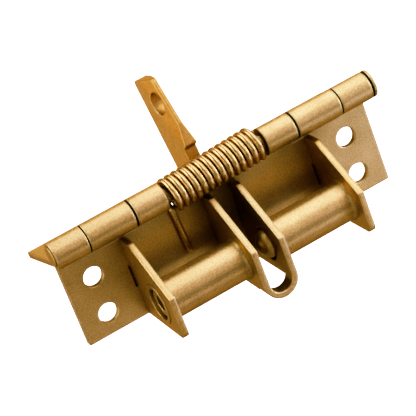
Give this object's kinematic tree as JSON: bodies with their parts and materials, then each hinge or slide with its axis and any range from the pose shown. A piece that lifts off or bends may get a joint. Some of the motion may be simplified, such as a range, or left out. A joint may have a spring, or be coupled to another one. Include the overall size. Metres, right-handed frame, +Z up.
{
  "type": "self-closing door hinge",
  "caption": "Gold spring hinge with two screwed leaves, a torsion spring round its pin, and a strike arm that swings into a sprung plunger catch to hold the door open.",
  "frame": {"origin": "middle of the front leaf's four screw holes, on the leaf's back face", "axes": "+Z up along the hinge pin, its head at the bottom; +X from the front leaf towards the pin; +Y out of the front leaf's back, so the catch tubes stand towards -Y"},
  "size_m": [0.0705, 0.0636, 0.1263],
  "materials": {
    "leaf_gold": "satin gold plating with a fine grain",
    "pin_gold": "satin gold plating with a fine grain",
    "washer_black": "satin black",
    "spring_gold": "satin gold plating with a fine grain",
    "plate_gold": "satin gold plating with a fine grain",
    "tube_gold": "satin gold plating with a fine grain",
    "plunger_gold": "satin gold plating with a fine grain",
    "spring_steel": "bright drawn wire",
    "adjuster_gold": "satin gold plating with a fine grain",
    "arm_gold": "satin gold plating with a fine grain"
  },
  "bodies": {
    "front": {"front_leaf": "leaf_gold", "hinge_pin": "pin_gold", "upper_outer_washer": "washer_black", "upper_inner_washer": "washer_black", "lower_inner_washer": "washer_black", "lower_outer_washer": "washer_black", "head_washer": "washer_black", "torsion_spring": "spring_gold", "upper_end_plate": "plate_gold", "lower_end_plate": "plate_gold", "centre_bracket": "plate_gold", "upper_tube": "tube_gold", "lower_tube": "tube_gold", "upper_catch_spring": "spring_steel", "lower_catch_spring": "spring_steel"},
    "rear": {"rear_leaf": "leaf_gold", "strike_arm": "arm_gold"},
    "upper_plunger": {"upper_plunger": "plunger_gold"},
    "lower_plunger": {"lower_plunger": "plunger_gold"},
    "upper_adjuster": {"upper_adjuster": "adjuster_gold"},
    "lower_adjuster": {"lower_adjuster": "adjuster_gold"}
  },
  "joints": [
    {"name": "leaf_hinge", "type": "hinge", "parent": "front", "child": "rear", "pos_m": [0.0222, -0.005, -0.00045], "axis": [0, 0, -1], "range_deg": [-4, 185], "stiffness_Nm_per_rad": 0.3, "deforming": ["torsion_spring"]},
    {"name": "upper_plunger_slide", "type": "slide", "parent": "front", "child": "upper_plunger", "axis": [0, 0, 1], "range_m": [0, 0.0036], "stiffness_N_per_m": 600, "springref_m": -0.003, "deforming": ["upper_catch_spring"]},
    {"name": "lower_plunger_slide", "type": "slide", "parent": "front", "child": "lower_plunger", "axis": [0, 0, -1], "range_m": [0, 0.0036], "stiffness_N_per_m": 600, "springref_m": -0.003, "deforming": ["lower_catch_spring"]},
    {"name": "upper_adjuster_turn", "type": "hinge", "parent": "front", "child": "upper_adjuster", "pos_m": [-0.0053, -0.0181, 0.03355], "axis": [0, 0, 1], "range_deg": [-180, 180]},
    {"name": "lower_adjuster_turn", "type": "hinge", "parent": "front", "child": "lower_adjuster", "pos_m": [-0.0053, -0.0181, -0.03445], "axis": [0, 0, -1], "range_deg": [-180, 180]}
  ]
}
